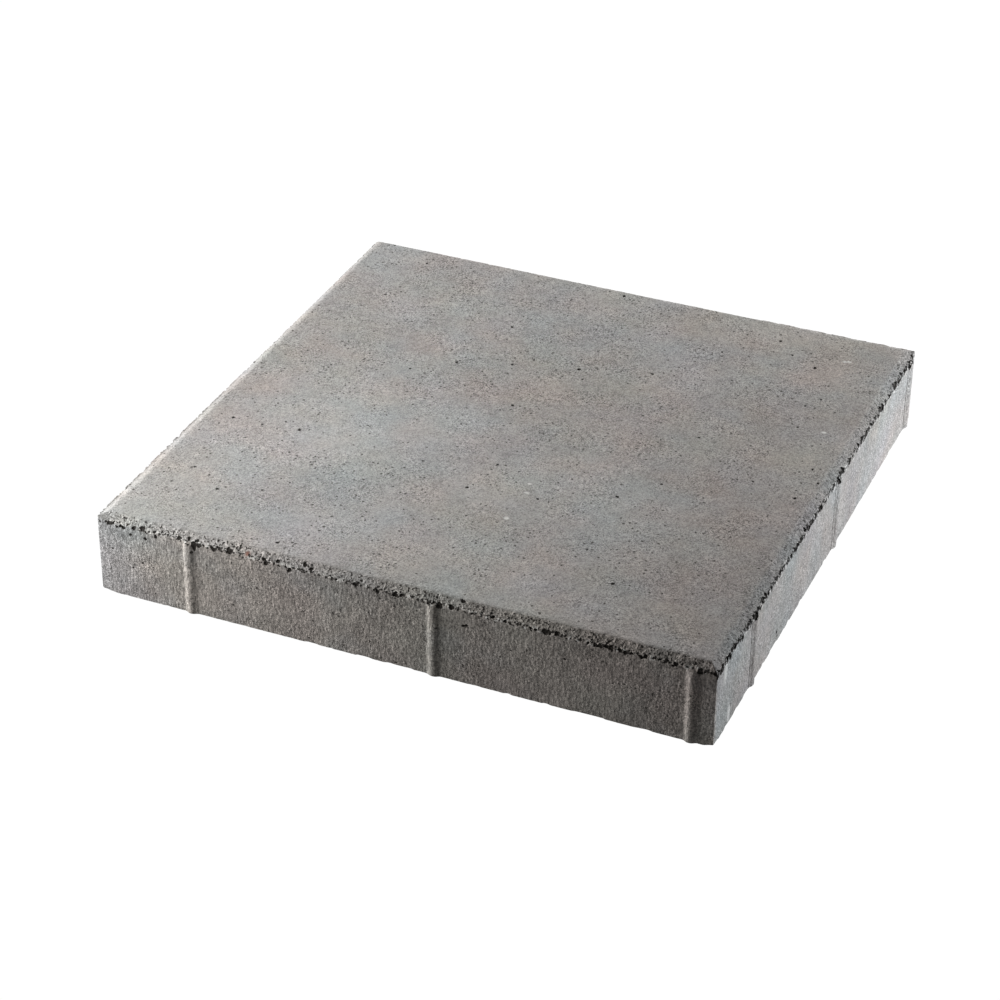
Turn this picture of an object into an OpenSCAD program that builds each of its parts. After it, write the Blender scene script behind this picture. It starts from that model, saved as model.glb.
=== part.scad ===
// Square concrete paving slab, cast in one piece and lying flat with its wearing face up.
// The origin is at the middle of the bed face, and +Z is up.
// Lengths are in millimetres.

/* [Slab] */
// Laying module: one slab side plus one joint
laying_module = 500; // [300:1:800]
// Thickness from the bed face to the wearing face
slab_thickness = 70; // [40:1:120]
// Radius of the four upright corners
corner_radius = 4; // [0.5:0.1:5]

/* [Top edge] */
// Width of the chamfer, measured across the wearing face
chamfer_width = 7; // [3:0.1:16]
// Height of the chamfer, measured down the side
chamfer_height = 5; // [2:0.1:14]

/* [Spacer nibs] */
// Number of nibs on each side
nib_count = 3; // [2:1:5]
// How far a nib stands out from the side, which sets the width of the joint
nib_depth = 2; // [1:0.1:3.5]
// Width of a nib where its fillets run out into the side
nib_width = 13; // [8:0.5:14]
// Distance from the right-hand corner of the front or back to the middle of the last nib
nib_margin = 18; // [18:0.5:40]
// How much nearer to that corner the nibs of the left and right sides are
nib_shift = 6; // [0:0.5:6]
// Offset between a nib of the front and the nearest nib of the slab that is laid beside it
nib_stagger = 60; // [30:1:110]
// How far a nib stops below the chamfer
nib_drop = 1.5; // [0.5:0.1:8]

/* [Hidden] */

// Smoothness of the rounded corners and nibs
$fn = 64;
// How far a cutter runs past what it cuts
overrun = 1;

side_angles = [0, 90, 180, 270];
slab_side = laying_module - nib_depth;
half_side = slab_side / 2;
corner_centre = half_side - corner_radius;

// The chamfer starts at this height on the side
side_height = slab_thickness - chamfer_height;
chamfer_slope = chamfer_height / chamfer_width;

// A nib has a round crest and two hollow fillets, all of one radius, which meet halfway up its flanks
nib_half = nib_width / 2;
nib_radius = (nib_half * nib_half + nib_depth * nib_depth) / (4 * nib_depth);
nib_height = side_height - nib_drop;

// Seen from outside, the row of nibs sits to the right of the middle of its side.
// Two slabs laid side by side therefore touch nib to face, never nib to nib.
nib_start = nib_margin + nib_stagger - half_side;
nib_pitch = (slab_side - 2 * nib_margin - nib_stagger) / (nib_count - 1);

// Outline of the slab seen from above, without its nibs
module slab_plan() {
    square([slab_side, 2 * corner_centre], center = true);
    square([2 * corner_centre, slab_side], center = true);
    for (x = [-corner_centre, corner_centre], y = [-corner_centre, corner_centre])
        translate([x, y])
            circle(r = corner_radius);
}

// Cutter that takes the chamfer off the top edge of the right-hand side
module edge_cut() {
    rise = overrun * chamfer_slope;
    rotate([90, 0, 0])
        linear_extrude(slab_side + 2 * overrun, center = true)
            polygon([
                [half_side - chamfer_width - overrun, slab_thickness + rise],
                [half_side + overrun, side_height - rise],
                [half_side + overrun, slab_thickness + rise]
            ]);
}

// Section of one nib seen from above, standing out of the front side
module nib_section() {
    difference() {
        translate([-nib_half, -nib_depth / 2])
            square([nib_width, nib_depth / 2 + overrun]);
        for (x = [-nib_half, nib_half])
            translate([x, -nib_radius])
                circle(r = nib_radius);
    }
    translate([0, nib_radius - nib_depth])
        circle(r = nib_radius);
}

// The row of spacer nibs on the front side, moved along it by the shift given
module nib_row(shift) {
    for (i = [0 : nib_count - 1])
        translate([nib_start + i * nib_pitch + shift, -half_side, 0])
            linear_extrude(nib_height)
                nib_section();
}

// The whole slab: chamfered block with a staggered row of nibs on each side
module paving_slab() {
    color([0.60, 0.59, 0.57])
        union() {
            difference() {
                linear_extrude(slab_thickness)
                    slab_plan();
                for (angle = side_angles)
                    rotate([0, 0, angle])
                        edge_cut();
            }
            for (i = [0 : len(side_angles) - 1])
                rotate([0, 0, side_angles[i]])
                    nib_row(i % 2 * nib_shift);
        }
}

paving_slab();
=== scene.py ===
"""Square concrete paving slab with spacer nibs, lying on a plain pale floor."""
import math

import bpy
import numpy as np
from mathutils import Matrix, Vector


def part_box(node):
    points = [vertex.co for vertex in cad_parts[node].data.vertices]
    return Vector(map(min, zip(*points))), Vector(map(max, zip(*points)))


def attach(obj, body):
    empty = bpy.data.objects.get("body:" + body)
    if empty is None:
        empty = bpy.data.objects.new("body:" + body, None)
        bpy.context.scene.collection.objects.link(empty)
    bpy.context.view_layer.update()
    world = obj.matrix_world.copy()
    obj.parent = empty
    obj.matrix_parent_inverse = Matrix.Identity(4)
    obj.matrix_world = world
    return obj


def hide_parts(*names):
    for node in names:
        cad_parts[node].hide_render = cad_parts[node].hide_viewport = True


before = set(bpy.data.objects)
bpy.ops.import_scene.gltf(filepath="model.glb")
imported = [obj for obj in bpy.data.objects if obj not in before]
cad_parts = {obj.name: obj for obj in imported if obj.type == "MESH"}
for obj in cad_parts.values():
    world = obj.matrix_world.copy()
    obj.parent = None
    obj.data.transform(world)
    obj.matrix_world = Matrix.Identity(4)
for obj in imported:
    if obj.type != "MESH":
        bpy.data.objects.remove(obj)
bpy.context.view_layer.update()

# Sizes of the slab in millimetres. The box comes from the frame, and the others repeat the part's own.
MM = 0.001
NODE = "paving_slab"
NODE_LOW, NODE_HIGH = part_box(NODE)
NIB_COUNT = 3
NIB_DEPTH = 2.0
NIB_WIDTH = 13.0
NIB_MARGIN = 18.0
NIB_SHIFT = 6.0
NIB_STAGGER = 60.0
NIB_DROP = 1.5
CHAMFER_WIDTH = 7.0
CHAMFER_HEIGHT = 5.0
THICKNESS = round((NODE_HIGH.z - NODE_LOW.z) / MM, 1)
HALF_SIDE = round(NODE_HIGH.x / MM, 1) - NIB_DEPTH
SIDE_HEIGHT = THICKNESS - CHAMFER_HEIGHT
HALF_TOP = HALF_SIDE - CHAMFER_WIDTH
CHAMFER_SLANT = math.hypot(CHAMFER_WIDTH, CHAMFER_HEIGHT)
NIB_HALF = NIB_WIDTH / 2
NIB_RADIUS = (NIB_HALF ** 2 + NIB_DEPTH ** 2) / (4 * NIB_DEPTH)
NIB_HEIGHT = SIDE_HEIGHT - NIB_DROP
NIB_START = NIB_MARGIN + NIB_STAGGER - HALF_SIDE
NIB_PITCH = (2 * HALF_SIDE - 2 * NIB_MARGIN - NIB_STAGGER) / (NIB_COUNT - 1)
NIB_PLACES = [NIB_START + i * NIB_PITCH for i in range(NIB_COUNT)]

# Radius of the upright corners. The part has 4 mm, but the photo shows sharper ones.
CORNER_RADIUS = 1.0

# Numbers of the sides. The left and right ones are broken: their row of pits runs on down the side.
FRONT = -3.0
RIGHT = 2.0
LEFT = -2.0
BACK = 3.0

# Fineness of the mesh. Its steps and longest edges are in millimetres.
COARSE_STEP = 12.0
SIDE_ROWS = 6
LONGEST_EDGE = 14.0
BED_EDGE = 4 * LONGEST_EDGE
STRIP_EDGE = 4.0
BAND_EDGE = 2.1
FINEST_EDGE = 0.95
NIB_EDGE = 1.7
FOOT_EDGE = 2.5
MARK_EDGE = 1.1
LIP_EDGE = 1.5
HIDDEN_SHARE = 1.5
MOST_ROUNDS = 16
CREASE_ANGLE = math.radians(35.0)

# Constants of the hash that gives each cell of a grid its repeatable random numbers
AXIS_KEYS = np.array([0x9E3779B97F4A7C15, 0xC2B2AE3D27D4EB4F, 0x165667B19E3779F9], dtype=np.uint64)
MIX_KEYS = np.array([0xBF58476D1CE4E5B9, 0x94D049BB133111EB], dtype=np.uint64)
MIX_SHIFTS = np.array([30, 27, 31], dtype=np.uint64)
FIELD_BITS = 16

# Noises of the cast surface: the size of their lumps in millimetres, and a seed that keeps them apart
FINE_SAND = (1.7, 11)
COARSE_SAND = (3.4, 12)
SAG = (60.0, 13)
ARRIS_CRUMBS = (3.0, 14)
LINES = ((1.6, 1.6, 40.0), 15)
LUMPS = (3.0, 16)
FOOT_CHIPS = (6.0, 19)
PIT_CROWD = (20.0, 22)
PORE_CROWD = (45.0, 24)
SCAR_CROWD = (24.0, 28)
BEND_U = (2.0, 31)
BEND_V = (2.0, 32)
LEFT_RAGS = (4.5, 33)
BACK_RAGS = (6.0, 33)

# How deep the unevenness of the cast surface goes, in millimetres,
# and the share of a hollow's depth that is cut
SAG_DEPTH = 0.3
BAND_DEPTH = 0.7
BROKEN_BAND_DEPTH = 0.4
ARRIS_DEPTH = 0.3
LINE_DEPTH = 0.10
LUMP_DEPTH = 0.12
FOOT_DEPTH = 0.15
FOOT_CHIP_DEPTH = 0.55
FOOT_CORNER_DEPTH = 1.5
DEEPEST_PIT = 1.5
PIT_SHARE = 0.85

# Lip over the chamfer: its height on the left arris and on the back one, where it ends and where it is full
# along the left arris, and where it starts and where it is full along the back one, in millimetres
LEFT_LIP = 2.3
BACK_LIP = 1.7
LEFT_LIP_FADE = (220.0, -180.0)
BACK_LIP_START = 60.0
BACK_LIP_FULL = 150.0

# Crowds of hollows: the spacing of the grid that holds them and their radii in millimetres, and a seed.
# Noise bends them out of round, up to a reach.
PITS = (2.9, (0.6, 2.2), 21)
PORES = (14.0, (0.5, 1.4), 23)
SCARS = (4.6, (1.0, 2.6), 27)
BEND_REACH = 2.0

# Chances of hollows, which slow changes along the slab raise and lower
PORE_CHANCE = 0.07
SIDE_PORE_CHANCE = 0.03
PIT_CHANCE = 0.7
BROKEN_PIT_CHANCE = 1.4
CHAMFER_PIT_CHANCE = 0.03

# Places on the edge profile are distances down it from the top of the chamfer, below 0 on the wearing face.
# The stride keeps the sides apart in the grids of the hollows.
SIDE_STRIDE = 2000.0
PIT_PLACE = CHAMFER_SLANT + 0.9
PIT_SPREAD = 1.4
BROKEN_SPREAD = 2.2 * PIT_SPREAD
SCAR_PLACE = CHAMFER_SLANT + 2.8
SCAR_REACH = 3.0

# Foot of the sides: its height, and how far its worn corners reach
FOOT_HEIGHT = 2.2
FOOT_CORNER_REACH = 9.0

# Pocket just under the arris, to the right of each nib
POCKET_OFF = 5.0
POCKET_PLACE = CHAMFER_SLANT + 1.5
POCKET_RADIUS = 2.4

# Pits that stand on their own: the side, the distance along it, the place on the edge profile and the radius
LONE_PITS = [
    (FRONT, -234.9, 8.9, 1.5),
    (FRONT, -229.2, 10.5, 1.6),
    (FRONT, -217.3, 9.5, 1.7),
    (FRONT, -200.3, 7.8, 1.6),
    (FRONT, -179.2, 8.4, 1.7),
    (FRONT, -220.5, 15.8, 1.3),
    (FRONT, -208.0, 16.2, 1.4),
    (FRONT, -199.0, 12.0, 1.8),
    (FRONT, -166.2, 13.2, 1.9),
    (FRONT, -168.0, 17.4, 1.3),
    (FRONT, 51.9, 1.4, 1.8),
    (FRONT, 54.2, 22.5, 1.3),
    (FRONT, 56.0, 22.2, 1.4),
    (FRONT, -211.0, 39.2, 1.1),
    (FRONT, -220.5, 45.9, 1.0),
    (RIGHT, -5.3, -49.7, 1.2),
    (RIGHT, 30.2, -13.4, 1.2),
    (RIGHT, -107.4, 64.2, 1.5),
    (RIGHT, -106.4, 68.4, 1.3),
]

# Soft patches of the wearing face: the middle and the reach of each along x and y,
# how much lighter it is, and how much warmer
TOP_PATCHES = [
    (-135.0, -60.0, 85.0, 50.0, 0.20, -0.5),
    (-85.0, -180.0, 60.0, 60.0, 0.0, -0.7),
    (110.0, -95.0, 65.0, 50.0, 0.08, -0.6),
    (20.0, 145.0, 150.0, 40.0, 0.0, -0.4),
    (-120.0, 205.0, 160.0, 70.0, -0.11, 0.0),
    (60.0, 30.0, 75.0, 50.0, -0.10, 0.4),
    (-20.0, 80.0, 55.0, 40.0, -0.07, 0.3),
    (215.0, -140.0, 60.0, 90.0, -0.13, 0.4),
    (215.0, 40.0, 50.0, 140.0, 0.0, 0.4),
    (0.0, -150.0, 40.0, 70.0, 0.0, 0.4),
    (-220.0, 60.0, 40.0, 150.0, -0.04, 0.3),
    (-20.0, 140.0, 200.0, 70.0, -0.05, 0.0),
    (150.0, -50.0, 70.0, 200.0, -0.05, 0.2),
    (160.0, 215.0, 80.0, 40.0, 0.0, 0.8),
    (-30.0, -30.0, 40.0, 35.0, 0.0, -0.7),
    (30.0, 60.0, 40.0, 50.0, 0.0, 0.5),
    (-150.0, -160.0, 40.0, 50.0, 0.0, -0.5),
    (-215.0, 215.0, 40.0, 30.0, 0.0, -0.5),
]

# Pale marks, two lime streaks and some light grains: the middle of each, and its reach along the three axes
PALE_MARKS = [
    (249.0, -229.5, 54.0, 5.0, 4.4, 14.0),
    (249.0, -217.0, 9.0, 5.0, 4.2, 11.0),
    (201.7, 202.3, 70.0, 2.6, 2.0, 3.0),
    (205.0, 203.7, 70.0, 2.6, 2.0, 3.0),
    (220.0, 87.0, 70.0, 3.2, 2.0, 3.0),
    (37.7, -130.1, 70.0, 3.0, 2.6, 3.0),
    (38.0, -91.0, 70.0, 2.8, 2.0, 3.0),
    (35.1, -78.2, 70.0, 2.4, 1.8, 3.0),
]

# One red grain in the front arris: its middle and its reach along the three axes
RED_GRAIN = (-122.0, -246.5, 65.5, 3.2, 4.0, 2.8)

# Colours of the concrete, the two tints that are laid over it, its gloss, and the reach of its bump in metres
WARM_GREY = (0.412, 0.378, 0.349, 1.0)
COOL_GREY = (0.376, 0.382, 0.386, 1.0)
ROSY_TINT = (1.028, 0.987, 1.000, 1.0)
LEADEN_TINT = (0.981, 1.009, 1.000, 1.0)
# Painted shade in the gaps, pinholes, holes and hollows of the concrete
GAP_SHADE = (0.07, 0.062, 0.055, 1.0)
PINHOLE_SHADE = (0.070, 0.063, 0.057, 1.0)
HOLE_SHADE = (0.030, 0.026, 0.023, 1.0)
PIT_SHADE = (0.036, 0.031, 0.027, 1.0)
LIME = (0.78, 0.77, 0.75, 1.0)
RED = (0.36, 0.19, 0.15, 1.0)
PALE_FLECK = (0.62, 0.61, 0.59, 1.0)
# Painted highlight on the grains under the arris
GRAIN_HIGHLIGHT = (0.85, 0.83, 0.80, 1.0)
ROUGHNESS = 0.92
SPECULAR = 0.25
BUMP_DISTANCE = 0.9 * MM

# Sizes of the material's textures in millimetres
GRAIN_SIZE = 0.85
STREAK_SIZE = 0.75
COARSE_GRAIN_SIZE = 1.9
SAND_SIZE = 2.6
MOTTLE_SIZE = 9.0
WASH_SIZE = 14.0
THRONG_SIZE = 26.0
HUE_SIZE = 42.0
BLUSH_SIZE = 64.0
CLOUD_SIZE = 70.0
PINHOLE_SPACING = 4.2
RUBBLE_SPACING = 2.3
FLECK_SPACING = 7.0
RAGGED_SIZE = 1.6
RAGGED_REACH = 1.6

# How the streaks and the wash of the sides are drawn out upwards,
# and a shift that makes a second set of textures
STREAK_SCALE = (1.0, 1.0, 0.16)
WASH_SCALE = (1.0, 1.0, 0.4)
OTHER_SHIFT = (3.1, 1.7, 0.9)

# Tones of the edge and the sides: how much lighter, darker, rosier or more streaked they are.
# The lip, the right side and the nibs' left flanks are painted light, and the right chamfer is painted shade.
# The dark line at the foot of the nibs on the right side is a painted shadow. The right side is darker low
# down
LIP_PAINTED_LIGHT = 0.12
RIGHT_BAND_PAINTED_SHADE = 0.22
RIGHT_SIDE_PAINTED_LIGHT = 0.09
RIGHT_LOW_DARK = 0.08
NIB_FLANK_HIGHLIGHT = 0.35
RIGHT_NIB_FLANK_HIGHLIGHT = 0.45
NIB_FOOT_SHADOW = 0.80
NIB_FOOT_SHADOW_REACH = 1.7
TOP_ROSY = 0.08
FRONT_ROSY = 0.10
FRONT_STREAKS = 0.90
OTHER_STREAKS = 0.45

# How crumbly the chamfer of a broken side is, and how full the row under the arris is,
# the long one of broken sides and the short one of the others
BROKEN_CRUMB = 0.45
LONG_ROW = 0.95
SHORT_ROW = 0.72

# Soft lights, placed to give the shading that the three visible faces show:
# name, azimuth and elevation in degrees, distance and size in metres, power in watts, and tint
LIGHTS = [
    ("front_left_light", -44.2, 25.7, 0.500, (0.38, 0.58), 1.25, (0.992, 1.0, 0.975)),
    ("left_light", -70.7, 3.0, 1.136, (0.62, 0.21), 10.09, (1.0, 1.0, 1.0)),
    ("right_light", 127.8, 3.2, 1.385, (0.53, 0.20), 19.0, (0.96, 1.0, 1.03)),
    ("back_light", 215.2, 33.2, 1.802, (0.29, 0.13), 29.90, (1.0, 1.0, 0.99)),
]
LIGHT_AIM = (0.0, 0.0, 0.057)

# Floor and surroundings: colour, reach in metres, and strength as the slab and as the camera see them
WHITE = (1.0, 1.0, 1.0, 1.0)
FLOOR_REACH = 16.0
FLOOR_GLOW = (0.17, 1.02)
SKY_GLOW = (0.020, 1.0)


def smooth_step(low, high, value):
    """Rise from 0 at low to 1 at high, level at both ends."""
    share = np.clip((value - low) / (high - low), 0.0, 1.0)
    return share * share * (3.0 - 2.0 * share)


def bump_window(value, middle, reach):
    """Rise to 1 at middle and fall to 0 at reach to either side of it."""
    return smooth_step(reach, 0.0, np.abs(value - middle))


def cell_keys(cells, axis):
    """Hash key of each cell along one axis."""
    return cells.astype(np.int64).astype(np.uint64) * AXIS_KEYS[axis]


def scramble(keys, seed):
    """Well mixed 64-bit numbers from the keys of cells."""
    mixed = keys + np.uint64(seed) * MIX_KEYS[1]
    mixed = (mixed ^ (mixed >> MIX_SHIFTS[0])) * MIX_KEYS[0]
    mixed = (mixed ^ (mixed >> MIX_SHIFTS[1])) * MIX_KEYS[1]
    return mixed ^ (mixed >> MIX_SHIFTS[2])


def field(mixed, number):
    """Random number from 0 to 1, one of the four that a mixed 64-bit number holds."""
    part = (mixed >> np.uint64(FIELD_BITS * number)) & np.uint64(2 ** FIELD_BITS - 1)
    return part.astype(float) / 2 ** FIELD_BITS


def noise(points, size, seed):
    """Smooth noise from 0 to 1, with lumps about as large as size, one number or one for each axis."""
    scaled = points / np.asarray(size, dtype=float)
    cells = np.floor(scaled)
    share = scaled - cells
    share = share * share * (3.0 - 2.0 * share)
    keys = [cell_keys(cells[:, k], k) for k in range(3)]
    keys = [(key, key + AXIS_KEYS[k]) for k, key in enumerate(keys)]
    weights = [(1.0 - share[:, k], share[:, k]) for k in range(3)]
    total = np.zeros(len(points))
    for i, j, k in np.ndindex(2, 2, 2):
        mixed = scramble(keys[0][i] ^ keys[1][j] ^ keys[2][k], seed)
        total += weights[0][i] * weights[1][j] * weights[2][k] * field(mixed, 0)
    return total


def dent(off, radius):
    """Depth of a round hollow at a distance from its middle, and the longest edge that shows it there."""
    depth = radius * np.sqrt(np.clip(1.0 - (off / radius) ** 2, 0.0, None))
    edge = np.maximum(np.maximum(0.75 * radius, FINEST_EDGE), 1.2 * (off - radius))
    return depth, edge


def hollows(u, v, chance, spacing, radii, seed):
    """Round hollows, at most one to a cell of a flat grid, where chance tells how likely one is at a place.

    Gives the depth of the hollow at each point, and the longest edge that shows the hollows near it."""
    depth = np.zeros(len(u))
    edge = np.full(len(u), LONGEST_EDGE)
    home_u, home_v = np.floor(u / spacing), np.floor(v / spacing)
    for step_u, step_v in np.ndindex(3, 3):
        cell_u, cell_v = home_u + step_u - 1, home_v + step_v - 1
        mixed = scramble(cell_keys(cell_u, 0) ^ cell_keys(cell_v, 1), seed)
        middle_u = (cell_u + field(mixed, 2)) * spacing
        middle_v = (cell_v + field(mixed, 3)) * spacing
        there = field(mixed, 0) < chance(middle_u, middle_v)
        radius = radii[0] + (radii[1] - radii[0]) * field(mixed, 1) ** 1.5
        deep, needed = dent(np.hypot(u - middle_u, v - middle_v), radius)
        depth = np.where(there, np.maximum(depth, deep), depth)
        edge = np.where(there, np.minimum(edge, needed), edge)
    return depth, edge


def is_broken(number):
    """Whether a side is the left or right one. A place along u in strides may stand for its number."""
    return np.abs(number) < (RIGHT + BACK) / 2


def crowd(u, v, size, seed):
    """Slow change of a chance over a face, about 1."""
    flat = np.stack([u, v, np.zeros_like(u)], -1)
    return 0.3 + 1.4 * noise(flat, size, seed)


def pore_chance(u, v):
    """How likely a pore is on the flat faces: less likely on the sides, which lie further out along u."""
    return np.where(np.abs(u) < SIDE_STRIDE, PORE_CHANCE, SIDE_PORE_CHANCE) * crowd(u, v, *PORE_CROWD)


def pit_chance(u, v):
    """How likely a pit is on the edge profile: most likely just under the arris.

    The broken sides have more pits, which run on further down. The others have a few on the chamfer."""
    broken = is_broken(u / SIDE_STRIDE)
    spread = np.where((v > PIT_PLACE) & broken, BROKEN_SPREAD, PIT_SPREAD)
    row = np.exp(-((v - PIT_PLACE) / spread) ** 2)
    chamfer = (v > 0.5) & (v < CHAMFER_SLANT) & ~broken
    chance = np.where(broken, BROKEN_PIT_CHANCE, PIT_CHANCE) * row + CHAMFER_PIT_CHANCE * chamfer
    return chance * crowd(u, 0.0 * v, *PIT_CROWD)


def scar_chance(u, v):
    """How likely a broken-out scar is on the edge profile: only under the arris of the broken sides."""
    window = is_broken(u / SIDE_STRIDE) * bump_window(v, SCAR_PLACE, SCAR_REACH)
    return window * (0.6 + 0.4 * crowd(u, 0.0 * v, *SCAR_CROWD))


def profile_place(points):
    """Distance down the edge profile: 0 at the top of the chamfer, below 0 on the wearing face."""
    reach = np.abs(points[:, :2]).max(-1)
    drop = THICKNESS - points[:, 2]
    chamfer = drop / CHAMFER_HEIGHT * CHAMFER_SLANT
    place = np.where(drop > CHAMFER_HEIGHT, CHAMFER_SLANT + drop - CHAMFER_HEIGHT, chamfer)
    return np.where(drop <= 0.0, reach - HALF_TOP, place)


def side_share(place):
    """How much a place on the edge profile belongs to the upright side: 0 on the chamfer and above it."""
    return smooth_step(CHAMFER_SLANT - 0.5, CHAMFER_SLANT + 1.5, place)


def side_frame(points):
    """Outward direction of the nearest side, its number, and the distance to the right of its middle."""
    x, y = points[:, 0], points[:, 1]
    on_x = np.abs(x) > np.abs(y)
    out = np.zeros_like(points)
    out[:, 0] = np.where(on_x, np.sign(x), 0.0)
    out[:, 1] = np.where(on_x, 0.0, np.sign(y))
    along = -x * out[:, 1] + y * out[:, 0]
    number = RIGHT * out[:, 0] + BACK * out[:, 1]
    return out, number, along


def nib_place(number, k):
    """Place of a nib along its side, which lies further along on the left and right sides."""
    return NIB_PLACES[k] + NIB_SHIFT * is_broken(number)


def nib_rise(points, number, along):
    """How far the spacer nibs stand out of the side, and the longest edge that shows them."""
    off = np.full(len(points), np.inf)
    for k in range(NIB_COUNT):
        off = np.minimum(off, np.abs(along - nib_place(number, k)))
    crest = np.sqrt(np.clip(NIB_RADIUS ** 2 - off ** 2, 0.0, None)) - (NIB_RADIUS - NIB_DEPTH)
    run_out = np.clip(NIB_HALF - off, 0.0, NIB_HALF / 2)
    fillet = NIB_RADIUS - np.sqrt(NIB_RADIUS ** 2 - run_out ** 2)
    rise = np.where(off < NIB_HALF / 2, crest, fillet)
    top = smooth_step(NIB_HEIGHT + 0.3, NIB_HEIGHT - 0.9, points[:, 2])
    on_side = np.abs(points[:, :2]).max(-1) > HALF_SIDE - 1.0
    edge = np.where(on_side & (off < NIB_HALF + 1.0), NIB_EDGE, LONGEST_EDGE)
    return rise * top, edge


def stain(points, mark):
    """How strong a mark is at each point, and the longest edge that shows it."""
    off, reach = points - np.array(mark[:3]), np.array(mark[3:])
    strength = smooth_step(1.0, 0.4, np.linalg.norm(off / reach, axis=-1))
    away = np.linalg.norm(np.maximum(np.abs(off) - reach, 0.0), axis=-1)
    return strength, np.maximum(MARK_EDGE, away)


def pale_marks(points):
    """How pale the marks make each point, and the longest edge that shows them."""
    pale = np.zeros(len(points))
    edge = np.full(len(points), LONGEST_EDGE)
    for mark in PALE_MARKS:
        strength, needed = stain(points, mark)
        pale, edge = np.maximum(pale, strength), np.minimum(edge, needed)
    return pale, edge


def lip(points):
    """How far the ragged lip stands up over the chamfer, and the longest edge that shows it.

    It runs along the left arris, lower towards the back, and along the right end of the back arris."""
    x, y, z = points.T
    arris = smooth_step(SIDE_HEIGHT - 2.0, SIDE_HEIGHT - 0.3, z)
    slope = np.clip((-x - HALF_TOP) / CHAMFER_WIDTH, 0.0, 1.0)
    ridge = smooth_step(1.3, 0.5, x + HALF_SIDE) * (0.3 + 0.8 * noise(points, *LEFT_RAGS))
    left = (LEFT_LIP * slope + ridge) * smooth_step(*LEFT_LIP_FADE, y)
    back = BACK_LIP * smooth_step(HALF_SIDE - 4.0, HALF_SIDE - 1.0, y)
    back *= smooth_step(BACK_LIP_START, BACK_LIP_FULL, x)
    back *= 0.7 + 0.6 * noise(points, *BACK_RAGS)
    rise = arris * np.maximum(left, back)
    near = (x < -HALF_SIDE + 1.8) | ((y > HALF_SIDE - 4.5) & (x > BACK_LIP_START))
    edge = np.where(near & (z > SIDE_HEIGHT - 2.5), LIP_EDGE, LONGEST_EDGE)
    return rise, edge


def lone_pits(number, along, place):
    """Depth of the nibs' pockets and the lone pits, and the longest edge that shows them."""
    depth = np.zeros(len(along))
    edge = np.full(len(along), LONGEST_EDGE)
    for k in range(NIB_COUNT):
        off = np.hypot(along - nib_place(number, k) - POCKET_OFF, place - POCKET_PLACE)
        deep, needed = dent(off, POCKET_RADIUS)
        depth, edge = np.maximum(depth, deep), np.minimum(edge, needed)
    for side, middle, drop, radius in LONE_PITS:
        here = number == side
        deep, needed = dent(np.hypot(along - middle, place - drop), radius)
        depth = np.where(here, np.maximum(depth, deep), depth)
        edge = np.where(here, np.minimum(edge, needed), edge)
    return depth, edge


def unevenness(points, number, place, on_band):
    """Height of the surface without its hollows: a sagging face, a sandy chamfer and drawn, lumpy sides."""
    on_side = side_share(place)
    sandy = 0.5 * noise(points, *FINE_SAND) + 0.5 * noise(points, *COARSE_SAND)
    lines = LINE_DEPTH * noise(points, *LINES)
    height = -SAG_DEPTH * (1.0 - on_side) * (1.0 - noise(points, *SAG))
    height -= np.where(is_broken(number), BROKEN_BAND_DEPTH, BAND_DEPTH) * on_band * (1.0 - sandy)
    height -= ARRIS_DEPTH * bump_window(place, 0.0, 1.4) * noise(points, *ARRIS_CRUMBS)
    height -= on_side * (lines + LUMP_DEPTH * noise(points, *LUMPS))
    return height


def pitting(points, number, along, place):
    """Depth of the pits, scars and pores, and the longest edge that shows them."""
    near_edge = smooth_step(-3.0, 0.0, place)
    near_edge *= smooth_step(CHAMFER_SLANT + 10.0, CHAMFER_SLANT + 7.0, place)
    bend_u = BEND_REACH * (noise(points, *BEND_U) - 0.5)
    bend_v = BEND_REACH * (noise(points, *BEND_V) - 0.5)
    edge_u, edge_v = along + SIDE_STRIDE * number + bend_u, place + bend_v
    pit, pit_edge = hollows(edge_u, edge_v, pit_chance, *PITS)
    scar, scar_edge = hollows(edge_u, edge_v, scar_chance, *SCARS)
    pit, pit_edge = np.maximum(pit, scar), np.minimum(pit_edge, scar_edge)
    lone, lone_edge = lone_pits(number, along + bend_u, place + bend_v)
    flat_u = np.where(place < 0.0, points[:, 0], along + SIDE_STRIDE * number) + bend_u / 2
    flat_v = np.where(place < 0.0, points[:, 1], points[:, 2]) + bend_v / 2
    pore, pore_edge = hollows(flat_u, flat_v, pore_chance, *PORES)
    depth = np.maximum(np.maximum(pit * near_edge, lone), pore * (1.0 - near_edge))
    edge = np.where(near_edge > 0.0, np.minimum(pit_edge, STRIP_EDGE), pore_edge)
    return depth, np.minimum(edge, lone_edge)


def foot_wear(points, place):
    """How much a point belongs to the foot of the side, and how much is worn off, most at the corners."""
    foot = smooth_step(FOOT_HEIGHT, 0.0, points[:, 2]) * side_share(place)
    gap_x, gap_y = HALF_SIDE - np.abs(points[:, 0]), HALF_SIDE - np.abs(points[:, 1])
    corner = smooth_step(FOOT_CORNER_REACH, 0.0, gap_x) * smooth_step(FOOT_CORNER_REACH, 0.0, gap_y)
    chips = smooth_step(0.5, 0.85, noise(points, *FOOT_CHIPS))
    wear = foot * (FOOT_DEPTH + FOOT_CHIP_DEPTH * chips + FOOT_CORNER_DEPTH * corner)
    return foot, wear


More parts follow.
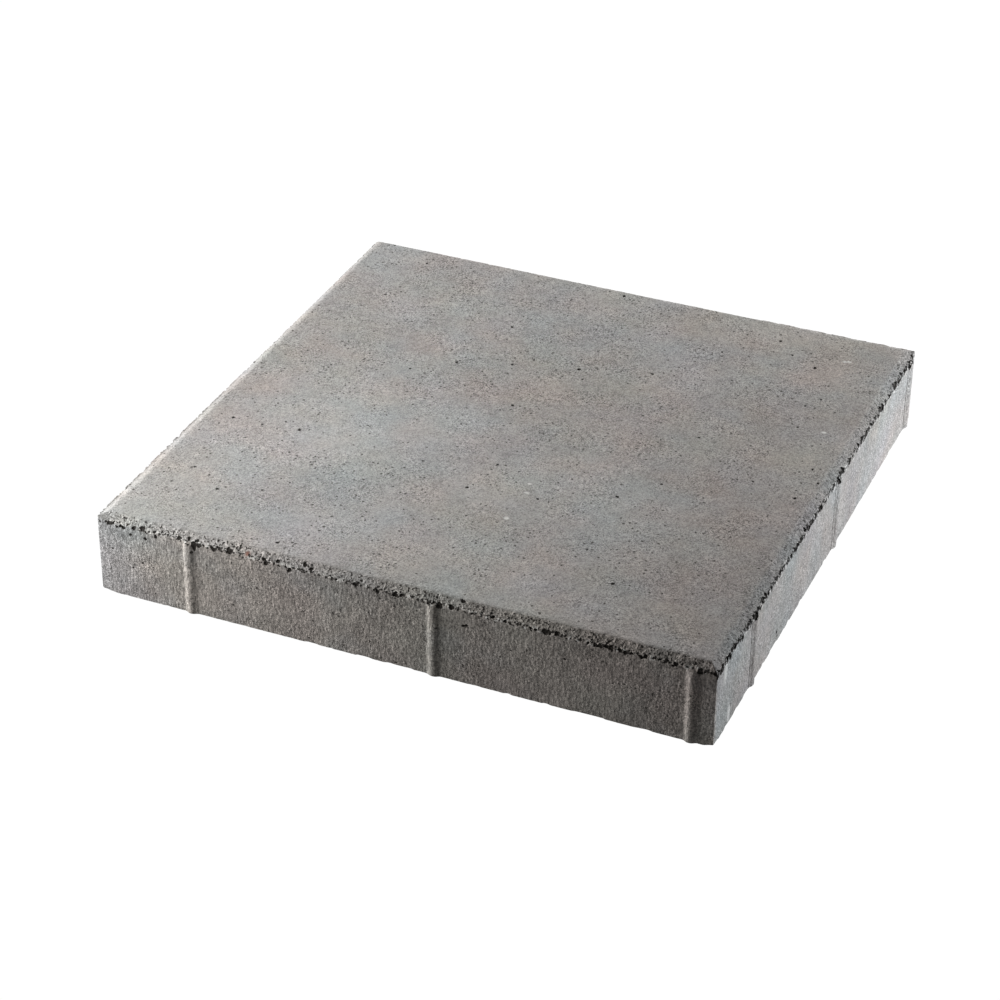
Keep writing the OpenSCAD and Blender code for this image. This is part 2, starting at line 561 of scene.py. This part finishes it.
def relief(points, number, along):
    """Height of the cast surface over the smooth slab, depth of its hollows, and longest edge it allows."""
    place = profile_place(points)
    reach = np.abs(points[:, :2]).max(-1)
    on_bed = points[:, 2] <= 0.0
    under = smooth_step(HALF_SIDE, HALF_SIDE - 4.0, reach) * on_bed
    on_band = smooth_step(-1.0, 0.8, place) * smooth_step(CHAMFER_SLANT + 1.0, CHAMFER_SLANT, place)
    depth, edge = pitting(points, number, along, place)
    foot, wear = foot_wear(points, place)
    height = unevenness(points, number, place, on_band)
    height -= PIT_SHARE * np.minimum(depth, DEEPEST_PIT)
    height -= wear

    edge = np.where(on_band > 0.05, np.minimum(edge, BAND_EDGE), edge)
    edge = np.minimum(edge, pale_marks(points)[1])
    hidden = (place > 0.0) & ((number == LEFT) | (number == BACK))
    edge = np.where(hidden, HIDDEN_SHARE * edge, edge)
    edge = np.where((foot > 0.0) & (under < 0.5), np.minimum(edge, FOOT_EDGE), edge)
    edge = np.where(on_bed & (reach <= HALF_SIDE - 1.0), BED_EDGE, edge)
    return height * (1.0 - under), depth, edge


def outward(points):
    """Direction in which the relief moves each point: straight out of a face, slanting near the edges."""
    soft = 9.0
    inner_low = np.array([-HALF_SIDE + soft, -HALF_SIDE + soft, soft])
    inner_high = np.array([HALF_SIDE - soft, HALF_SIDE - soft, THICKNESS - soft])
    out = points - np.clip(points, inner_low, inner_high)
    out /= np.linalg.norm(out, axis=-1, keepdims=True)
    return out


def round_corners(points):
    """Points of the sharp-cornered block with its upright corners rounded."""
    corner = HALF_SIDE - CORNER_RADIUS
    core = np.clip(points[:, :2], -corner, corner)
    off = points[:, :2] - core
    length = np.hypot(off[:, 0], off[:, 1])[:, None]
    rounded = points.copy()
    rounded[:, :2] = core + off * np.minimum(1.0, CORNER_RADIUS / np.maximum(length, 1e-9))
    return rounded


def surface(points):
    """Cast surface for points of the sharp-cornered block.

    Gives its place, the depth of its hollows, and the longest edge that shows it."""
    side_out, number, along = side_frame(points)
    height, hollow, edge = relief(points, number, along)
    rise, nib_edge = nib_rise(points, number, along)
    placed = round_corners(points) + outward(points) * height[:, None] + side_out * rise[:, None]
    lift, lip_edge = lip(points)
    placed[:, 2] += lift
    return placed, hollow, np.minimum(np.minimum(edge, nib_edge), lip_edge)


def grid_lines(shift):
    """Places of the coarse grid's lines across the slab, with five on each nib of the sides they end at."""
    fixed = {-HALF_SIDE, HALF_SIDE}
    for place in NIB_PLACES:
        for off in (-NIB_HALF, -NIB_HALF / 2, 0.0, NIB_HALF / 2, NIB_HALF):
            fixed |= {place + shift + off, -place - shift - off}
    fixed = sorted(fixed)
    lines = [fixed[0]]
    for start, end in zip(fixed, fixed[1:]):
        steps = max(1, math.ceil((end - start) / COARSE_STEP))
        lines += [start + (end - start) * k / steps for k in range(1, steps + 1)]
    return np.array(lines)


def block_quads(n, m, top):
    """Four-cornered faces of a block of n by m by top cells. Each corner is three grid numbers."""
    quads = []
    for a, b in np.ndindex(n, m):
        quads.append([(a, b, 0), (a, b + 1, 0), (a + 1, b + 1, 0), (a + 1, b, 0)])
        quads.append([(a, b, top), (a + 1, b, top), (a + 1, b + 1, top), (a, b + 1, top)])
    for a, k in np.ndindex(n, top):
        quads.append([(a, 0, k), (a + 1, 0, k), (a + 1, 0, k + 1), (a, 0, k + 1)])
        quads.append([(a + 1, m, k), (a, m, k), (a, m, k + 1), (a + 1, m, k + 1)])
    for b, k in np.ndindex(m, top):
        quads.append([(n, b, k), (n, b + 1, k), (n, b + 1, k + 1), (n, b, k + 1)])
        quads.append([(0, b + 1, k), (0, b, k), (0, b, k + 1), (0, b + 1, k + 1)])
    return np.array(quads)


def block_mesh():
    """Coarse triangles over the sharp-cornered block. The first edge of each is its longest."""
    lines_x, lines_y = grid_lines(0.0), grid_lines(NIB_SHIFT)
    quads = block_quads(len(lines_x) - 1, len(lines_y) - 1, SIDE_ROWS + 1)
    keys, ids = np.unique(quads.reshape(-1, 3), axis=0, return_inverse=True)
    ids = ids.reshape(-1, 4)
    on_top = keys[:, 2] > SIDE_ROWS
    shrink = np.where(on_top, HALF_TOP / HALF_SIDE, 1.0)
    points = np.empty((len(keys), 3))
    points[:, 0] = shrink * lines_x[keys[:, 0]]
    points[:, 1] = shrink * lines_y[keys[:, 1]]
    points[:, 2] = np.where(on_top, THICKNESS, SIDE_HEIGHT * keys[:, 2] / SIDE_ROWS)
    triangles = np.concatenate([ids[:, [2, 0, 1]], ids[:, [0, 2, 3]]])
    return points, triangles


def halve(triangles, middles):
    """Split each triangle at the middle of its first edge, and its halves where they are marked too."""
    v0, v1, v2 = triangles.T
    m0, m1, m2 = middles.T
    parts = []
    for first, second, mark in ((v2, v0, m2), (v1, v2, m1)):
        whole = mark < 0
        parts.append(np.stack([first, second, m0], -1)[whole])
        parts.append(np.stack([m0, first, mark], -1)[~whole])
        parts.append(np.stack([second, m0, mark], -1)[~whole])
    return np.concatenate(parts)


def spread_marks(split, ids):
    """Mark the first edge of each triangle that has a marked edge, until none is left."""
    while True:
        late = split[ids].any(-1) & ~split[ids[:, 0]]
        if not late.any():
            return
        split[ids[late, 0]] = True


def too_coarse(points, triangles):
    """Whether the first edge of each triangle is longer than the cast surface allows there."""
    a, b, c = points[triangles].transpose(1, 0, 2)
    edge = np.linalg.norm(a - b, axis=-1)
    needed = np.minimum(surface((a + b) / 2.0)[2], surface((a + b + c) / 3.0)[2])
    return edge > needed


def refine(points, triangles):
    """Halve triangles until no edge is longer than the cast surface allows there."""
    fresh = np.arange(len(triangles))
    for _ in range(MOST_ROUNDS):
        wanted = fresh[too_coarse(points, triangles[fresh])]
        if not len(wanted):
            break
        ends = np.sort(triangles[:, [0, 1, 1, 2, 2, 0]].reshape(-1, 3, 2), axis=-1)
        keys, ids = np.unique(ends[..., 0] * len(points) + ends[..., 1], return_inverse=True)
        ids = ids.reshape(-1, 3)
        split = np.zeros(len(keys), bool)
        split[ids[wanted, 0]] = True
        spread_marks(split, ids)
        number = np.full(len(keys), -1)
        number[split] = len(points) + np.arange(split.sum())
        added = (points[keys[split] // len(points)] + points[keys[split] % len(points)]) / 2.0
        points = np.concatenate([points, added])
        middles = number[ids]
        cut = middles[:, 0] >= 0
        children = halve(triangles[cut], middles[cut])
        triangles = np.concatenate([triangles[~cut], children])
        fresh = np.arange(len(triangles) - len(children), len(triangles))
    return points, triangles


def mesh_piece(name, points, triangles, attributes):
    """Blender object from arrays, smooth shaded, with one value at each point for each attribute."""
    mesh = bpy.data.meshes.new(name)
    mesh.from_pydata((points * MM).tolist(), [], triangles.tolist())
    mesh.polygons.foreach_set("use_smooth", np.ones(len(mesh.polygons), dtype=bool))
    for key, values in attributes.items():
        layer = mesh.attributes.new(key, "FLOAT", "POINT")
        layer.data.foreach_set("value", values.astype(np.float32))
    mesh.update()
    mesh.set_sharp_from_angle(angle=CREASE_ANGLE)
    piece = bpy.data.objects.new(name, mesh)
    bpy.context.scene.collection.objects.link(piece)
    return piece


class Nodes:
    """Short calls for building a node tree. Sizes are in millimetres."""

    def __init__(self, owner):
        owner.use_nodes = True
        self.tree = owner.node_tree
        self.tree.nodes.clear()

    def feed(self, socket, value):
        """Set an input to a value, or link it to another socket."""
        if isinstance(value, bpy.types.NodeSocket):
            self.tree.links.new(value, socket)
        else:
            socket.default_value = value

    def add(self, kind, inputs=None, **settings):
        """New node with its settings, and with each input set or linked."""
        node = self.tree.nodes.new(kind)
        for key, value in settings.items():
            setattr(node, key, value)
        for key, value in (inputs or {}).items():
            self.feed(node.inputs[key], value)
        return node

    def attribute(self, name):
        """Value that the mesh holds at each point."""
        return self.add("ShaderNodeAttribute", attribute_name=name).outputs["Fac"]

    def mapped(self, vector, scale=(1.0, 1.0, 1.0), shift=(0.0, 0.0, 0.0)):
        """Coordinates scaled and shifted."""
        node = self.add("ShaderNodeMapping", {"Vector": vector, "Scale": scale, "Location": shift})
        return node.outputs["Vector"]

    def noise_node(self, vector, size, detail):
        """Noise with lumps of about this size."""
        inputs = {"Vector": vector, "Scale": 1.0 / (size * MM), "Detail": detail}
        return self.add("ShaderNodeTexNoise", inputs)

    def noise(self, vector, size, detail=1.0):
        """Value of smooth noise with lumps of about this size."""
        return self.noise_node(vector, size, detail).outputs["Fac"]

    def bent(self, vector, size, reach):
        """Coordinates pushed about by noise, up to a reach, which makes round shapes ragged."""
        push = self.noise_node(vector, size, 1.0).outputs["Color"]
        inputs = {0: push, 1: (reach * MM, reach * MM, reach * MM), 2: vector}
        return self.add("ShaderNodeVectorMath", inputs, operation="MULTIPLY_ADD").outputs["Vector"]

    def cell_node(self, vector, size):
        """Sharp-edged cells of about this size."""
        return self.add("ShaderNodeTexVoronoi", {"Vector": vector, "Scale": 1.0 / (size * MM)})

    def cells(self, vector, size):
        """Random value of each of a crowd of cells."""
        return self.cell_node(vector, size).outputs["Color"]

    def pebbles(self, vector, size):
        """Cells of this size: a value from 0 to 1 for each, and the distance from its middle in cells."""
        node = self.cell_node(vector, size)
        pick = self.add("ShaderNodeSeparateColor", {"Color": node.outputs["Color"]}).outputs["Red"]
        return pick, node.outputs["Distance"]

    def dots(self, pebbles, chance, largest):
        """1 inside dots in the middles of cells, which are more and larger where chance is high."""
        pick, distance = pebbles
        radius = self.spread(self.math("SUBTRACT", chance, pick), 0.0, 0.25, 0.0, largest)
        return self.spread(self.math("SUBTRACT", radius, distance), 0.0, 0.2 * largest)

    def spread(self, value, low, high, to_low=0.0, to_high=1.0):
        """Value stretched from one range to another, and held at its ends."""
        inputs = {"Value": value, "From Min": low, "From Max": high, "To Min": to_low, "To Max": to_high}
        return self.add("ShaderNodeMapRange", inputs).outputs["Result"]

    def math(self, operation, *values):
        """Sum, product or the like of values and sockets."""
        return self.add("ShaderNodeMath", dict(enumerate(values)), operation=operation).outputs["Value"]

    def mix(self, share, a, b, blend="MIX"):
        """Mix of two colours, each a colour or a socket."""
        node = self.add("ShaderNodeMix", data_type="RGBA", blend_type=blend)
        sockets = {socket.identifier: socket for socket in node.inputs}
        self.feed(sockets["Factor_Float"], share)
        self.feed(sockets["A_Color"], a)
        self.feed(sockets["B_Color"], b)
        return {socket.identifier: socket for socket in node.outputs}["Result_Color"]

    def shaded(self, colour, factor):
        """Colour times a factor."""
        grey = self.add("ShaderNodeCombineColor", {0: factor, 1: factor, 2: factor}).outputs["Color"]
        return self.mix(1.0, colour, grey, "MULTIPLY")

    def layers(self, parts):
        """Factor about 1 from noises, each with its own strength."""
        total = 1.0 - 0.5 * sum(strength for _, strength in parts)
        for value, strength in parts:
            total = self.math("MULTIPLY_ADD", value, strength, total)
        return total


class Concrete:
    """Grey cast concrete: soft blotches, sand, drawn sides, a crumbly edge, painted shade in its hollows,
    holes, gaps and pinholes, and painted highlights on grains under the arris and on the nibs.
    """

    def __init__(self):
        self.material = bpy.data.materials.new("cast_concrete")
        self.nodes = Nodes(self.material)
        nodes = self.nodes
        self.place = nodes.add("ShaderNodeTexCoord").outputs["Object"]
        self.other = nodes.mapped(self.place, shift=OTHER_SHIFT)
        self.ragged = nodes.bent(self.place, RAGGED_SIZE, RAGGED_REACH)
        self.side = nodes.attribute("side")
        self.crumb = nodes.attribute("crumb")
        self.row = nodes.attribute("row")
        self.grain = nodes.cells(self.place, GRAIN_SIZE)
        self.coarse_grain = nodes.cells(self.other, COARSE_GRAIN_SIZE)
        self.sand = nodes.noise(self.other, SAND_SIZE)
        self.cloud = nodes.noise(self.other, CLOUD_SIZE, 2.0)
        self.throng = nodes.noise(self.place, THRONG_SIZE, 2.0)
        self.streak = nodes.cells(nodes.mapped(self.place, scale=STREAK_SCALE), STREAK_SIZE)
        self.pricked = self.pinholes()
        self.rubble = nodes.pebbles(self.ragged, RUBBLE_SPACING)
        self.holed = self.holes()

    def pinholes(self):
        """Small dots all over, fewer on the sides: pinholes, whose shade is painted dark."""
        nodes = self.nodes
        crowded = nodes.spread(self.throng, 0.30, 0.70, 0.12, 0.80)
        chance = nodes.math("MULTIPLY", crowded, nodes.spread(self.side, 0.0, 1.0, 1.0, 0.55))
        return nodes.dots(nodes.pebbles(self.ragged, PINHOLE_SPACING), chance, 0.25)

    def holes(self):
        """Larger dots between the rubble of the edge, most in the row under the arris: holes, whose shade is
        painted dark.
        """
        nodes = self.nodes
        crowded = nodes.spread(nodes.noise(self.other, 16.0), 0.30, 0.70, 0.75, 1.18)
        likely = nodes.math("MULTIPLY_ADD", self.crumb, 0.32, self.row)
        return nodes.dots(self.rubble, nodes.math("MULTIPLY", likely, crowded), 0.52)

    def hue(self):
        """Grey that drifts from warm to cool and from rosy to leaden."""
        nodes = self.nodes
        drift = nodes.noise(self.other, HUE_SIZE, 2.0)
        coolness = nodes.math("MULTIPLY_ADD", nodes.attribute("warmth"), -0.3, drift)
        colour = nodes.mix(nodes.spread(coolness, 0.20, 0.80), WARM_GREY, COOL_GREY)
        leaden = nodes.math("SUBTRACT", nodes.noise(self.place, BLUSH_SIZE), nodes.attribute("rosy"))
        tint = nodes.mix(nodes.spread(leaden, 0.30, 0.70), ROSY_TINT, LEADEN_TINT)
        return nodes.mix(1.0, colour, tint, "MULTIPLY")

    def body(self):
        """Colour of the sound concrete, with the streaks of the drawn sides."""
        nodes = self.nodes
        mottle = nodes.noise(self.place, MOTTLE_SIZE, 2.0)
        keen = nodes.spread(self.throng, 0.35, 0.70, 0.70, 1.45)
        fine = nodes.math("MULTIPLY", nodes.math("SUBTRACT", self.grain, 0.5), keen)
        parts = [(self.coarse_grain, 0.20), (self.sand, 0.25), (mottle, 0.35), (self.cloud, 0.35)]
        everywhere = nodes.math("ADD", nodes.layers(parts), fine)
        # The light value holds the lighter and darker patches of the wearing face, and the painted light and
        # shade of the sides, the nibs, the lip and the right chamfer
        everywhere = nodes.math("ADD", everywhere, nodes.attribute("light"))
        colour = nodes.shaded(self.hue(), everywhere)

        wash = nodes.noise(nodes.mapped(self.place, scale=WASH_SCALE), WASH_SIZE, 3.0)
        upright = nodes.layers([(self.sand, 0.25), (wash, 0.35), (self.cloud, 0.1)])
        lines = nodes.math("SUBTRACT", self.streak, 0.5)
        lines = nodes.math("MULTIPLY", lines, nodes.attribute("drawn"))
        upright = nodes.math("MULTIPLY", nodes.math("ADD", upright, lines), 1.03)
        return nodes.mix(self.side, colour, nodes.shaded(colour, upright))

    def crumbly(self, colour):
        """Colour with the rough edge: lighter grains and painted shade in its gaps."""
        nodes = self.nodes
        rough = nodes.layers([(self.coarse_grain, 0.5), (nodes.noise(self.place, 2.0), 0.6)])
        rough = nodes.shaded(colour, nodes.math("MULTIPLY", rough, 1.25))
        colour = nodes.mix(self.crumb, colour, rough)
        # Painted shade in the gaps of the crumbly edge
        gap_shade_mask = nodes.spread(nodes.noise(self.other, 1.5, 0.0), 0.64, 0.72)
        return nodes.mix(nodes.math("MULTIPLY", self.crumb, gap_shade_mask), colour, GAP_SHADE)

    def marked(self, colour):
        """Colour with the lime marks, the red grain, the painted shade of the pinholes and small pale flecks.
        """
        nodes = self.nodes
        patchy = nodes.spread(self.sand, 0.3, 0.6, 0.55, 1.0)
        colour = nodes.mix(nodes.math("MULTIPLY", nodes.attribute("pale"), patchy), colour, LIME)
        colour = nodes.mix(nodes.attribute("red"), colour, RED)
        # Painted shade in the pinholes
        colour = nodes.mix(nodes.math("MULTIPLY", self.pricked, 0.9), colour, PINHOLE_SHADE)
        fleck = nodes.dots(nodes.pebbles(self.other, FLECK_SPACING), 0.40, 0.14)
        return nodes.mix(nodes.math("MULTIPLY", fleck, 0.45), colour, PALE_FLECK)

    def pitted(self, colour):
        """Colour with painted highlights on grains and painted shade in holes in the row under the arris, and
        with painted shade in the hollows.
        """
        nodes = self.nodes
        pick, distance = self.rubble
        # Painted highlights on grains in the row under the arris
        grain_highlight = nodes.math("MULTIPLY", nodes.spread(self.row, 0.1, 0.4), nodes.spread(pick, 0.62, 0.72))
        grain_highlight = nodes.math("MULTIPLY", grain_highlight, nodes.spread(distance, 0.60, 0.40))
        colour = nodes.mix(grain_highlight, colour, GRAIN_HIGHLIGHT)
        # Painted shade in the holes of the row under the arris
        colour = nodes.mix(nodes.math("MULTIPLY", self.holed, 0.94), colour, HOLE_SHADE)
        # Painted shade in the hollows, darker where they are deeper
        uneven = nodes.noise(self.place, 1.3, 0.0)
        deep = nodes.math("MULTIPLY_ADD", uneven, 0.4, nodes.attribute("hollow"))
        return nodes.mix(nodes.spread(deep, 0.45, 0.70, 0.0, 0.92), colour, PIT_SHADE)

    def bump(self):
        """Normal that follows the sand, the streaks, the crumbly edge and the small holes."""
        nodes = self.nodes
        grit = nodes.math("MULTIPLY_ADD", self.grain, 0.5, self.sand)
        grit = nodes.math("MULTIPLY_ADD", nodes.math("MULTIPLY", self.streak, self.side), 0.6, grit)
        grit = nodes.math("MULTIPLY_ADD", nodes.noise(self.other, 1.5, 2.0), self.crumb, grit)
        grit = nodes.math("MULTIPLY_ADD", self.pricked, -0.8, grit)
        grit = nodes.math("MULTIPLY_ADD", self.holed, -1.0, grit)
        strength = nodes.math("MAXIMUM", self.crumb, self.row)
        strength = nodes.math("MAXIMUM", nodes.spread(self.side, 0.0, 1.0, 0.35, 0.90), strength)
        inputs = {"Height": grit, "Strength": strength, "Distance": BUMP_DISTANCE}
        return nodes.add("ShaderNodeBump", inputs).outputs["Normal"]

    def finish(self):
        """The whole material."""
        colour = self.pitted(self.marked(self.crumbly(self.body())))
        inputs = {"Base Color": colour, "Normal": self.bump()}
        inputs |= {"Roughness": ROUGHNESS, "Specular IOR Level": SPECULAR}
        shader = self.nodes.add("ShaderNodeBsdfPrincipled", inputs)
        self.nodes.add("ShaderNodeOutputMaterial", {"Surface": shader.outputs["BSDF"]})
        return self.material


def top_patches(points):
    """How much lighter and how much warmer the soft patches make the wearing face."""
    light, warmth = np.zeros(len(points)), np.zeros(len(points))
    for x, y, reach_x, reach_y, lighter, warmer in TOP_PATCHES:
        off = ((points[:, 0] - x) / reach_x) ** 2 + ((points[:, 1] - y) / reach_y) ** 2
        light += lighter * np.exp(-off)
        warmth += warmer * np.exp(-off)
    return light, warmth


def side_tones_and_painted_light(points, number, along):
    """How much lighter and how much warmer the sides are, with painted light and shade.

    The front is warm, a painted warm tint of its shade, but cool at its lit left end. The right side is
    painted light, darker low down in its nearer half, and cool at its near end. Each nib's left flank gets a
    painted highlight, and on the right side a painted shadow, a dark line, lies at its foot."""
    front, right = number == FRONT, number == RIGHT
    near, low = smooth_step(120.0, 0.0, along), smooth_step(45.0, 15.0, points[:, 2])
    # Painted light over the whole right side, which is darker low down in its nearer half
    light = np.where(right, RIGHT_SIDE_PAINTED_LIGHT - RIGHT_LOW_DARK * near * low, 0.0)
    for k in range(NIB_COUNT):
        off = along - nib_place(number, k)
        # Painted highlight on the left flank of each nib
        flank = np.where(right, RIGHT_NIB_FLANK_HIGHLIGHT, NIB_FLANK_HIGHLIGHT)
        flank = flank * bump_window(off, -NIB_HALF / 2, NIB_HALF / 2)
        # Painted shadow: a dark line at the foot of each nib's left flank on the right side
        foot = NIB_FOOT_SHADOW * right * bump_window(off, -NIB_HALF, NIB_FOOT_SHADOW_REACH)
        light += (flank - foot) * (points[:, 2] < NIB_HEIGHT)
    # The front's warmth is a painted warm tint of its shade, and its lit left end is cool
    warmth = np.where(front, -0.7 + 1.7 * smooth_step(-235.0, -180.0, along), 0.0)
    warmth -= np.where(right, 0.4 * smooth_step(-150.0, -200.0, along), 0.0)
    return light, warmth


def pit_row(place, broken):
    """How likely a hole is in the row under the arris, which runs on down the broken sides."""
    long_row = LONG_ROW * smooth_step(CHAMFER_SLANT - 1.4, CHAMFER_SLANT - 0.4, place)
    long_row *= smooth_step(CHAMFER_SLANT + 9.0, CHAMFER_SLANT + 1.0, place)
    short_row = SHORT_ROW * bump_window(place, PIT_PLACE - 0.3, 3.2)
    return np.where(broken, long_row, short_row)


def slab_values(points, hollow):
    """Values that the material reads at each point. The lip gets painted light, and no crumbs and no painted
    shade of hollows.
    """
    place = profile_place(points)
    _, number, along = side_frame(points)
    front, broken = number == FRONT, is_broken(number)
    side = side_share(place)
    band = smooth_step(-1.0, 1.5, place) * smooth_step(CHAMFER_SLANT + 2.5, CHAMFER_SLANT, place)
    on_top = smooth_step(8.0, -8.0, place) * (points[:, 2] > 0.0)
    on_lip = smooth_step(0.0, 0.5, lip(points)[0])
    sound = 1.0 - on_lip
    light, warmth = top_patches(points)
    side_painted_light, side_warmth = side_tones_and_painted_light(points, number, along)
    light = light * on_top + side_painted_light * side
    # Painted light on the lip
    light += LIP_PAINTED_LIGHT * on_lip
    # Painted shade on the chamfer of the right side
    light -= RIGHT_BAND_PAINTED_SHADE * (number == RIGHT) * band
    # Painted warm tint of shade on the front chamfer, growing towards its darker right end
    front_band_shade_tint = front * band * (0.2 + 0.7 * smooth_step(-160.0, 200.0, along))
    top_rosy = TOP_ROSY * smooth_step(130.0, 215.0, points[:, 0])
    side_rosy = FRONT_ROSY * (front * smooth_step(-180.0, -235.0, along))
    return {
        # Depth of the hollows, which the material paints dark as their shade
        "hollow": hollow * sound,
        "light": light,
        "warmth": warmth * on_top + side_warmth * side + front_band_shade_tint,
        "crumb": band * np.where(broken, BROKEN_CRUMB, 1.0) * sound,
        "row": pit_row(place, broken) * sound,
        "side": side,
        "rosy": top_rosy * on_top + side_rosy * side,
        "drawn": np.where(front, FRONT_STREAKS, OTHER_STREAKS),
        "pale": pale_marks(points)[0],
        "red": stain(points, RED_GRAIN)[0],
    }


def paving_slab():
    """The dressed slab, which stands for the plain casting."""
    points, triangles = refine(*block_mesh())
    placed, hollow, _ = surface(points)
    piece = mesh_piece("concrete_slab", placed, triangles, slab_values(points, hollow))
    piece.data.materials.append(Concrete().finish())
    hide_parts(NODE)
    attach(piece, "root")


def seen_glow(nodes, glow):
    """Strength of a glow, which the camera sees brighter than the slab does."""
    seen = nodes.add("ShaderNodeLightPath").outputs["Is Camera Ray"]
    return nodes.spread(seen, 0.0, 1.0, *glow)


def backdrop():
    """Pale floor that the camera sees as a plain white sweep."""
    reach = FLOOR_REACH
    mesh = bpy.data.meshes.new("floor")
    corners = [(-reach, -reach, 0.0), (reach, -reach, 0.0), (reach, reach, 0.0), (-reach, reach, 0.0)]
    mesh.from_pydata(corners, [], [(0, 1, 2, 3)])
    floor = bpy.data.objects.new("floor", mesh)
    bpy.context.scene.collection.objects.link(floor)
    material = bpy.data.materials.new("pale_floor")
    nodes = Nodes(material)
    glow = nodes.add("ShaderNodeEmission", {"Color": WHITE, "Strength": seen_glow(nodes, FLOOR_GLOW)})
    nodes.add("ShaderNodeOutputMaterial", {"Surface": glow.outputs[0]})
    mesh.materials.append(material)


def world_light():
    """Faint even light all round, which the camera sees as white."""
    world = bpy.data.worlds.new("studio")
    bpy.context.scene.world = world
    nodes = Nodes(world)
    sky = nodes.add("ShaderNodeBackground", {"Color": WHITE, "Strength": seen_glow(nodes, SKY_GLOW)})
    nodes.add("ShaderNodeOutputWorld", {"Surface": sky.outputs[0]})


def direction(azimuth, elevation):
    """Unit vector from the slab; azimuth 0 is towards -Y, and 90 is towards +X."""
    a, e = math.radians(azimuth), math.radians(elevation)
    return Vector((math.sin(a) * math.cos(e), -math.cos(a) * math.cos(e), math.sin(e)))


def soft_light(name, azimuth, elevation, distance, size, watts, tint):
    """Rectangular light that faces the slab and stays out of the picture."""
    lamp = bpy.data.lights.new(name, "AREA")
    lamp.shape = "RECTANGLE"
    lamp.size, lamp.size_y = size
    lamp.energy = watts
    lamp.color = tint
    holder = bpy.data.objects.new(name, lamp)
    back = direction(azimuth, elevation)
    holder.location = Vector(LIGHT_AIM) + back * distance
    holder.rotation_euler = back.to_track_quat("Z", "Y").to_euler()
    holder.visible_camera = False
    bpy.context.scene.collection.objects.link(holder)


def camera():
    """Camera at the photograph's viewing angle."""
    azimuth, elevation, roll = 22.7554, 32.5686, math.radians(0.5649)
    distance, slide_right, slide_up = 2.30560, -0.020530, 0.000250
    lens, sensor, farthest = 102.483, 36.0, 60.0
    back = direction(azimuth, elevation)
    level = (-back).cross(Vector((0.0, 0.0, 1.0))).normalized()
    upright = level.cross(-back)
    right = math.cos(roll) * level + math.sin(roll) * upright
    up = -math.sin(roll) * level + math.cos(roll) * upright
    data = bpy.data.cameras.new("photo_camera")
    data.lens, data.sensor_width = lens, sensor
    data.clip_end = farthest
    holder = bpy.data.objects.new("photo_camera", data)
    turn = Matrix((right, up, back)).transposed().to_4x4()
    place = back * distance + right * slide_right + up * slide_up
    holder.matrix_world = Matrix.Translation(place) @ turn
    bpy.context.scene.collection.objects.link(holder)
    bpy.context.scene.camera = holder


camera()
for light in LIGHTS:
    soft_light(*light)
world_light()
backdrop()
paving_slab()
bpy.context.scene.view_settings.view_transform = "Standard"
